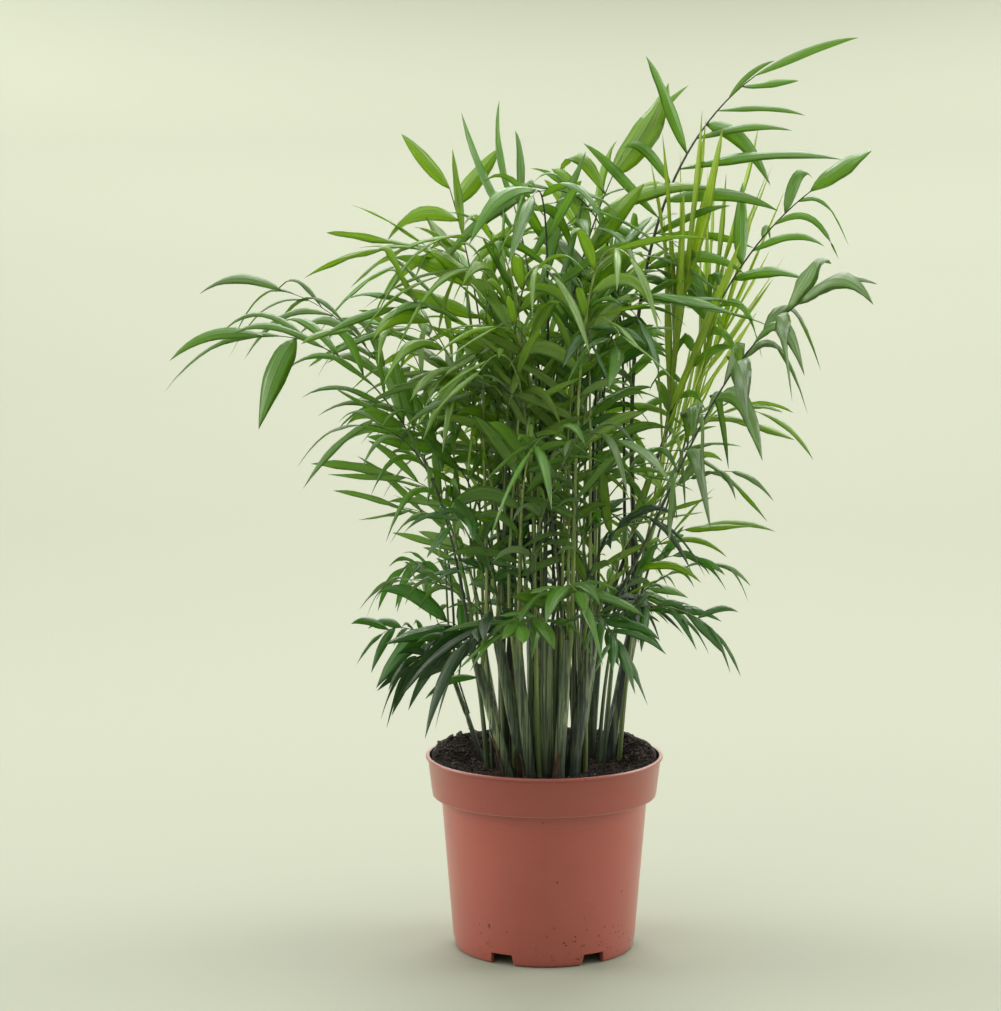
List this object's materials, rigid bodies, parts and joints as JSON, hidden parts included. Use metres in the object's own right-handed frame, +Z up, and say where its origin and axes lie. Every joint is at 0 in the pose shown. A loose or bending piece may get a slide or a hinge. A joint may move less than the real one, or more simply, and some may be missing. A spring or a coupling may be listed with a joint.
{
  "type": "parlour palm in a nursery pot",
  "caption": "Clump-grown parlour palm with arching feathery fronds on slim green stems, in a round terracotta-coloured plastic nursery pot.",
  "frame": {"origin": "on the pot's axis, on the level that its flat underside stands on", "axes": "+Z up along the pot's axis; the plant's front faces -Y and its tallest frond leans towards +X"},
  "size_m": [0.4988, 0.3349, 0.648],
  "materials": {
    "terracotta_plastic": "matt to satin moulded plastic",
    "potting_soil": "damp, crumbly peat with bark and grit",
    "stem_green": "smooth fibrous sheaths, satin",
    "leaf_green": "smooth leaf, satin above and greyer below"
  },
  "bodies": {
    "root": {"pot": "terracotta_plastic", "soil": "potting_soil", "stem_01": "stem_green", "stem_02": "stem_green", "stem_03": "stem_green", "stem_04": "stem_green", "stem_05": "stem_green", "stem_06": "stem_green", "stem_07": "stem_green", "stem_08": "stem_green", "stem_09": "stem_green", "stem_10": "stem_green", "stem_11": "stem_green", "stem_12": "stem_green", "stem_13": "stem_green", "stem_14": "stem_green", "frond_01": "leaf_green", "frond_02": "leaf_green", "frond_03": "leaf_green", "frond_04": "leaf_green", "frond_05": "leaf_green", "frond_06": "leaf_green", "frond_07": "leaf_green", "frond_08": "leaf_green", "frond_09": "leaf_green", "frond_10": "leaf_green", "frond_11": "leaf_green", "frond_12": "leaf_green", "frond_13": "leaf_green", "frond_14": "leaf_green", "frond_15": "leaf_green", "frond_16": "leaf_green", "frond_17": "leaf_green", "frond_18": "leaf_green", "frond_19": "leaf_green", "frond_20": "leaf_green", "frond_21": "leaf_green", "frond_22": "leaf_green", "frond_23": "leaf_green", "frond_24": "leaf_green", "frond_25": "leaf_green", "frond_26": "leaf_green", "frond_27": "leaf_green", "frond_28": "leaf_green", "frond_29": "leaf_green", "frond_30": "leaf_green", "frond_31": "leaf_green", "frond_32": "leaf_green", "frond_33": "leaf_green", "frond_34": "leaf_green", "frond_35": "leaf_green", "frond_36": "leaf_green", "frond_37": "leaf_green", "frond_38": "leaf_green", "frond_39": "leaf_green", "frond_40": "leaf_green", "frond_41": "leaf_green", "frond_42": "leaf_green"}
  },
  "joints": []
}
